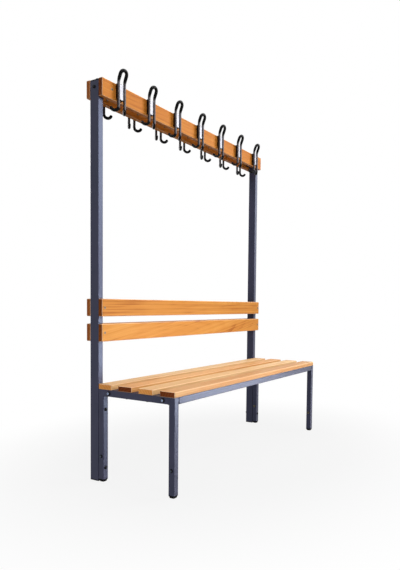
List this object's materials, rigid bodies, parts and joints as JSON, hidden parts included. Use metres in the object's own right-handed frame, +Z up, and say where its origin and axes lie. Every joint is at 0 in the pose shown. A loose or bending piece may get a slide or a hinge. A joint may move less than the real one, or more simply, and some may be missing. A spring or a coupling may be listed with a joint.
{
  "type": "cloakroom bench",
  "caption": "Free-standing cloakroom bench: slatted wooden seat on one side, slatted backrest and rails of looped wire coat hooks, on a square steel tube frame.",
  "frame": {"origin": "on the floor, under the middle of the whole bench", "axes": "+X along the bench to the right when facing it from the seat side, +Y from the seat to the back, +Z up"},
  "size_m": [1.512, 0.5416, 1.8765],
  "materials": {
    "frame_paint": "satin blue-grey powder coat",
    "seat_wood": "clear satin lacquer on laminated hardwood",
    "back_wood": "clear satin lacquer on hardwood",
    "foot_plastic": "moulded black",
    "hook_coating": "glossy black dip coating on steel wire",
    "hook_base": "moulded black",
    "hook_plate": "smooth white",
    "bolt_black": "glossy black",
    "zinc": "zinc plated"
  },
  "bodies": {
    "root": {"backrest_screws": "zinc", "bracket_bolts": "bolt_black", "frame_nuts": "zinc", "front_hook_1": "hook_coating", "front_hook_2": "hook_coating", "front_hook_3": "hook_coating", "front_hook_4": "hook_coating", "front_hook_5": "hook_coating", "front_hook_6": "hook_coating", "front_hook_7": "hook_coating", "front_hook_bases": "hook_base", "front_hook_plates": "hook_plate", "front_hook_rail": "back_wood", "front_lower_backrest": "back_wood", "front_rail": "frame_paint", "front_upper_backrest": "back_wood", "hook_base_screws": "zinc", "hook_rail_screws": "zinc", "left_front_foot": "foot_plastic", "left_front_leg": "frame_paint", "left_post": "frame_paint", "left_post_cap": "foot_plastic", "left_post_foot": "foot_plastic", "left_rail_bracket": "frame_paint", "left_rear_foot": "foot_plastic", "left_rear_leg": "frame_paint", "left_side_rail": "frame_paint", "leg_bolts": "bolt_black", "post_bolts": "bolt_black", "post_spacers": "zinc", "rail_end_plates": "frame_paint", "rear_hook_1": "hook_coating", "rear_hook_2": "hook_coating", "rear_hook_3": "hook_coating", "rear_hook_4": "hook_coating", "rear_hook_5": "hook_coating", "rear_hook_6": "hook_coating", "rear_hook_7": "hook_coating", "rear_hook_bases": "hook_base", "rear_hook_plates": "hook_plate", "rear_hook_rail": "back_wood", "rear_lower_backrest": "back_wood", "rear_rail": "frame_paint", "rear_upper_backrest": "back_wood", "right_front_foot": "foot_plastic", "right_front_leg": "frame_paint", "right_post": "frame_paint", "right_post_cap": "foot_plastic", "right_post_foot": "foot_plastic", "right_rail_bracket": "frame_paint", "right_rear_foot": "foot_plastic", "right_rear_leg": "frame_paint", "right_side_rail": "frame_paint", "seat_cross_rail": "frame_paint", "seat_screws": "zinc", "seat_slat_1": "seat_wood", "seat_slat_2": "seat_wood", "seat_slat_3": "seat_wood", "seat_slat_4": "seat_wood", "side_rail_bolts": "bolt_black"}
  },
  "joints": []
}
